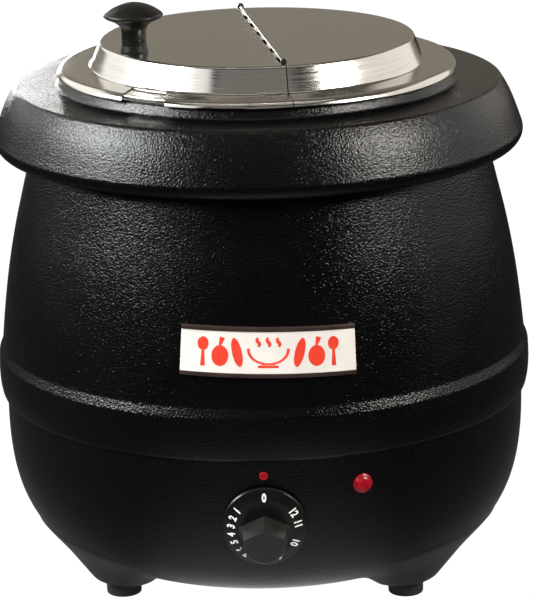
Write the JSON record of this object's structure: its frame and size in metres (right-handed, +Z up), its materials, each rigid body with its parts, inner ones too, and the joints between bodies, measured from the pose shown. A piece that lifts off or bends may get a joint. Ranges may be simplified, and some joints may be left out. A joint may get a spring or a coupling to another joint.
{
  "type": "electric soup kettle",
  "caption": "Round black electric soup kettle: domed body on feet, rolled collar, lift-out pot, steel lid with a folding flap and ladle slot, front control dial.",
  "frame": {"origin": "on the kettle's upright axis, in the plane that the feet stand on", "axes": "+Z up; the dial and label face -Y; +X is to the right seen from the front"},
  "size_m": [0.3396, 0.3613, 0.3821],
  "materials": {
    "painted_shell": "black hammertone powder coat, glossy",
    "polished_steel": "polished stainless steel with fine brush lines",
    "pot_steel": "satin stainless steel",
    "galvanised": "zinc plated steel",
    "black_phenolic": "glossy black phenolic",
    "black_nylon": "matte black nylon",
    "white_plastic": "ivory thermoplastic",
    "red_lens": "translucent red acrylic",
    "rubber_foot": "black rubber",
    "seal_rubber": "grey silicone",
    "label_frame": "dark brown plastic channel",
    "label_card": "white card with red pictograms",
    "mineral_wool": "mineral wool blanket",
    "element_sheath": "oxidised sheathed element",
    "aluminium_plate": "plain sheet",
    "copper": "bare copper",
    "brass_screw": "plain brass"
  },
  "bodies": {
    "kettle": {"lower_bowl": "painted_shell", "upper_shell": "painted_shell", "top_collar": "painted_shell", "well_seal": "seal_rubber", "water_well": "pot_steel", "thermostat_body": "black_nylon", "thermostat_bracket": "galvanised", "thermostat_screws": "galvanised", "index_marker": "red_lens", "pilot_lamp_lens": "red_lens", "pilot_lamp_body": "white_plastic", "pilot_lamp_clip": "galvanised", "label_holder": "label_frame", "label_card": "label_card", "heating_element": "element_sheath", "heater_plate": "aluminium_plate", "heater_studs": "galvanised", "heater_nuts": "galvanised", "thermal_cutout": "black_nylon", "insulation_blanket": "mineral_wool", "sensing_bulb": "copper", "bulb_clip": "galvanised", "capillary_tube": "copper", "base_plate": "galvanised", "base_screws": "galvanised", "foot_left": "rubber_foot", "foot_right": "rubber_foot", "foot_rear": "rubber_foot", "foot_screws": "galvanised", "foot_nuts": "galvanised", "cable_gland": "black_nylon", "gland_nut": "black_nylon", "terminal_block": "white_plastic", "terminal_screws": "brass_screw"},
    "pot": {"insert_pot": "pot_steel"},
    "lid": {"lid_right_half": "polished_steel", "hinge_pin": "polished_steel"},
    "flap": {"lid_folding_flap": "polished_steel", "knob_ferrule": "black_phenolic", "lid_knob": "black_phenolic", "knob_screw": "galvanised"},
    "dial": {"control_dial": "black_phenolic", "thermostat_shaft": "galvanised", "dial_spring_clip": "galvanised"}
  },
  "joints": [
    {"name": "pot_lift", "type": "slide", "parent": "kettle", "child": "pot", "axis": [0, 0, 1], "range_m": [0, 0.26]},
    {"name": "lid_lift", "type": "slide", "parent": "pot", "child": "lid", "axis": [0, 0, 1], "range_m": [0, 0.12]},
    {"name": "lid_flap", "type": "hinge", "parent": "lid", "child": "flap", "pos_m": [0.00376, 0.00057, 0.3515], "axis": [-0.1495, 0.9888, 0], "range_deg": [0, 155]},
    {"name": "thermostat_turn", "type": "hinge", "parent": "kettle", "child": "dial", "pos_m": [0, -0.16351, 0.0865], "axis": [0, 0.994, 0.1093], "range_deg": [0, 301]}
  ]
}
